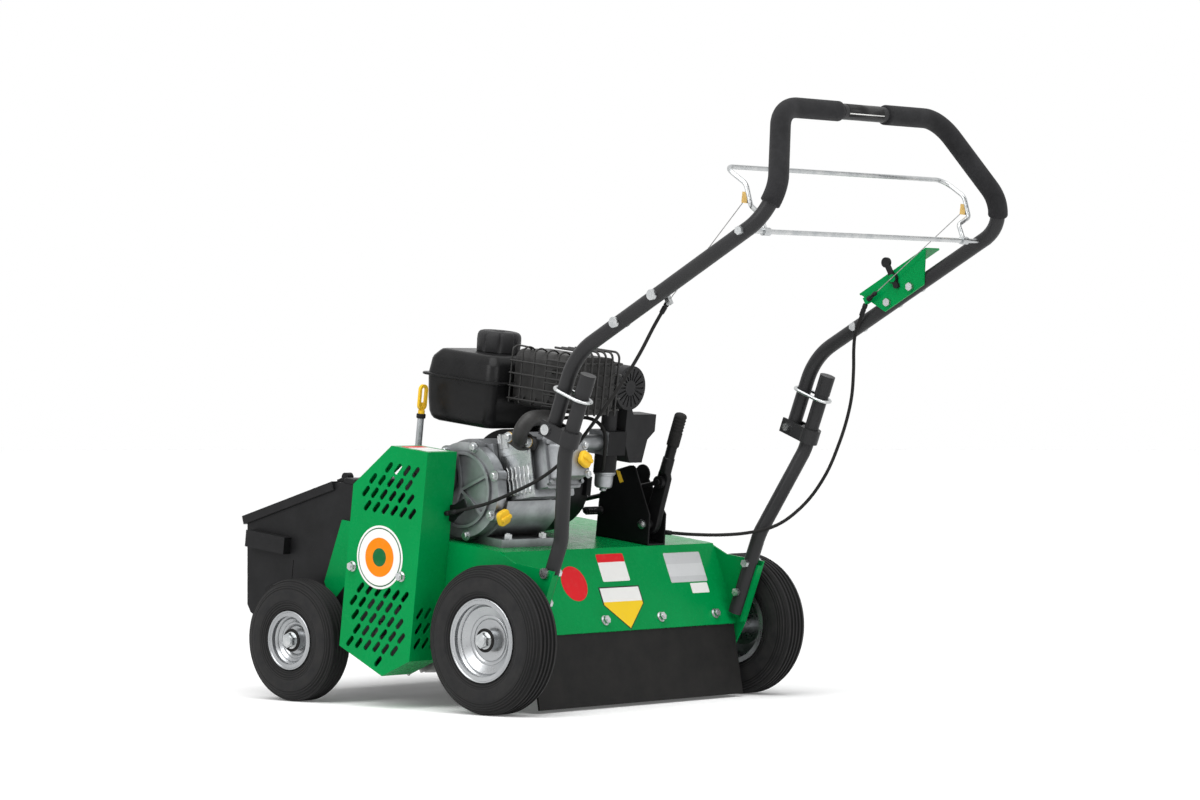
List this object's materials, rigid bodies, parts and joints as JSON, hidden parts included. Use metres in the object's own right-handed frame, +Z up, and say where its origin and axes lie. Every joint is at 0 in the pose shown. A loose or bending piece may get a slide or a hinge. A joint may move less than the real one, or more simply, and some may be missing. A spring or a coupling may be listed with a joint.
{
  "type": "walk-behind overseeder",
  "caption": "Petrol walk-behind overseeder: slicing reel under a steel deck, seed hopper in front, folding handle with a bail, and a depth lever that lifts the front wheels.",
  "frame": {"origin": "on the floor, under the middle of the machine's bounding box", "axes": "+X to the operator's right, +Y forward towards the hopper, +Z up"},
  "size_m": [0.732, 1.2678, 1.0286],
  "materials": {
    "green_paint": "gloss powder coat",
    "black_paint": "satin powder coat",
    "black_plastic": "fine grain moulding",
    "rubber": "matt",
    "foam": "closed-cell foam",
    "tyre": "ribbed tread",
    "rim_silver": "silver lacquer",
    "zinc": "bright zinc plate",
    "brass": "yellow passivated",
    "alloy": "as cast",
    "steel": "hot-rolled",
    "muffler_steel": "heat-proof black",
    "yellow_plastic": "moulded"
  },
  "bodies": {
    "chassis": {"deck_shell": "green_paint", "side_plate_left": "green_paint", "side_plate_right": "green_paint", "rear_flap": "rubber", "deck_bolts": "zinc", "belt_guard": "green_paint", "rear_axle": "zinc", "lever_bracket": "black_paint", "hopper": "black_plastic", "lower_tube_left": "black_paint", "lower_tube_right": "black_paint", "fold_clamps": "black_paint", "handle_bolts": "zinc", "upper_handle": "black_paint", "grip_left": "foam", "grip_right": "foam", "throttle_bracket": "green_paint", "clutch_cable": "rubber", "seed_cable": "rubber", "reel_bearings": "steel", "drive_belt": "rubber", "crankcase": "alloy", "crankcase_cover": "alloy", "cylinder": "alloy", "rocker_cover": "alloy", "blower_housing": "black_paint", "recoil_starter": "black_plastic", "fuel_tank": "black_paint", "muffler": "muffler_steel", "muffler_guard": "muffler_steel", "exhaust_elbow": "muffler_steel", "air_cleaner": "black_plastic", "carburettor": "alloy", "cylinder_shields": "zinc", "oil_plugs": "yellow_plastic"},
    "front_swing": {"front_swing": "black_paint"},
    "wheel_front_left": {"tyre_front_left": "tyre", "rim_front_left": "rim_silver"},
    "wheel_front_right": {"tyre_front_right": "tyre", "rim_front_right": "rim_silver"},
    "wheel_rear_left": {"tyre_rear_left": "tyre", "rim_rear_left": "rim_silver"},
    "wheel_rear_right": {"tyre_rear_right": "tyre", "rim_rear_right": "rim_silver"},
    "depth_lever": {"depth_lever": "black_paint"},
    "lever_link": {"lever_link": "black_paint"},
    "bail": {"bail": "zinc", "cable_clips": "brass"},
    "throttle_lever": {"throttle_lever": "black_plastic"},
    "hopper_lid": {"hopper_lid": "black_plastic"},
    "agitator": {"agitator": "zinc"},
    "seed_gate": {"seed_gate": "zinc"},
    "reel": {"reel_shaft": "zinc", "reel_blades": "steel"},
    "crankshaft": {"crankshaft": "zinc"},
    "idler_arm": {"idler_arm": "steel"},
    "fuel_cap": {"fuel_cap": "black_plastic"},
    "dipstick": {"dipstick": "yellow_plastic"},
    "lock_ring_left": {"lock_ring_left": "zinc"},
    "lock_ring_right": {"lock_ring_right": "zinc"}
  },
  "joints": [
    {"name": "wheel_rear_left_spin", "type": "hinge", "parent": "chassis", "child": "wheel_rear_left", "pos_m": [-0.333, -0.02935, 0.127], "axis": [1, 0, 0], "continuous": true},
    {"name": "wheel_rear_right_spin", "type": "hinge", "parent": "chassis", "child": "wheel_rear_right", "pos_m": [0.333, -0.02935, 0.127], "axis": [1, 0, 0], "continuous": true},
    {"name": "depth_lever_swing", "type": "hinge", "parent": "chassis", "child": "depth_lever", "pos_m": [0.123, 0.0095, 0.31111], "axis": [1, 0, 0], "range_deg": [0, 55]},
    {"name": "front_swing_pivot", "type": "hinge", "parent": "chassis", "child": "front_swing", "pos_m": [0, 0.33798, 0.2124], "axis": [1, 0, 0], "range_deg": [0, 27.5]},
    {"name": "wheel_front_left_spin", "type": "hinge", "parent": "front_swing", "child": "wheel_front_left", "pos_m": [-0.326, 0.44365, 0.108], "axis": [1, 0, 0], "continuous": true},
    {"name": "wheel_front_right_spin", "type": "hinge", "parent": "front_swing", "child": "wheel_front_right", "pos_m": [0.326, 0.44365, 0.108], "axis": [1, 0, 0], "continuous": true},
    {"name": "lever_link_pivot", "type": "hinge", "parent": "depth_lever", "child": "lever_link", "pos_m": [0.1097, -0.01786, 0.38628], "axis": [1, 0, 0], "range_deg": [-49.2, 0]},
    {"name": "bail_squeeze", "type": "hinge", "parent": "chassis", "child": "bail", "pos_m": [0, -0.57069, 0.80605], "axis": [1, 0, 0], "range_deg": [0, 30], "stiffness_Nm_per_rad": 1.2, "springref_deg": -22.92},
    {"name": "idler_tension", "type": "hinge", "parent": "chassis", "child": "idler_arm", "pos_m": [-0.32, 0.18246, 0.22353], "axis": [1, 0, 0], "range_deg": [-8, 0]},
    {"name": "throttle_turn", "type": "hinge", "parent": "chassis", "child": "throttle_lever", "pos_m": [0.3, -0.39456, 0.74493], "axis": [1, 0, 0], "range_deg": [-25, 25]},
    {"name": "hopper_lid_hinge", "type": "hinge", "parent": "chassis", "child": "hopper_lid", "pos_m": [0, 0.39668, 0.3952], "axis": [1, 0, 0], "range_deg": [0, 105]},
    {"name": "agitator_spin", "type": "hinge", "parent": "chassis", "child": "agitator", "pos_m": [0, 0.55771, 0.18699], "axis": [1, 0, 0], "continuous": true},
    {"name": "seed_gate_slide", "type": "slide", "parent": "chassis", "child": "seed_gate", "axis": [0, 0.9925, 0.1219], "range_m": [0, 0.02]},
    {"name": "reel_spin", "type": "hinge", "parent": "chassis", "child": "reel", "pos_m": [0, 0.2242, 0.13798], "axis": [1, 0, 0], "continuous": true},
    {"name": "crankshaft_spin", "type": "hinge", "parent": "chassis", "child": "crankshaft", "pos_m": [-0.3, 0.15085, 0.39899], "axis": [1, 0, 0], "continuous": true},
    {"name": "fuel_cap_turn", "type": "hinge", "parent": "chassis", "child": "fuel_cap", "pos_m": [-0.099, 0.17342, 0.62543], "axis": [0, -0.1219, 0.9925], "range_deg": [0, 120]},
    {"name": "dipstick_pull", "type": "slide", "parent": "chassis", "child": "dipstick", "axis": [0, -0.1219, 0.9925], "range_m": [0, 0.06]},
    {"name": "lock_ring_left_slide", "type": "slide", "parent": "chassis", "child": "lock_ring_left", "axis": [0, -0.3665, 0.9304], "range_m": [0, 0.05]},
    {"name": "lock_ring_right_slide", "type": "slide", "parent": "chassis", "child": "lock_ring_right", "axis": [0, -0.3665, 0.9304], "range_m": [0, 0.05]}
  ],
  "couplings": [
    {"joint": "front_swing_pivot", "follows": "depth_lever_swing", "ratio": 0.5},
    {"joint": "lever_link_pivot", "follows": "depth_lever_swing", "ratio": -0.8927},
    {"joint": "idler_tension", "follows": "bail_squeeze", "ratio": -0.2667}
  ]
}
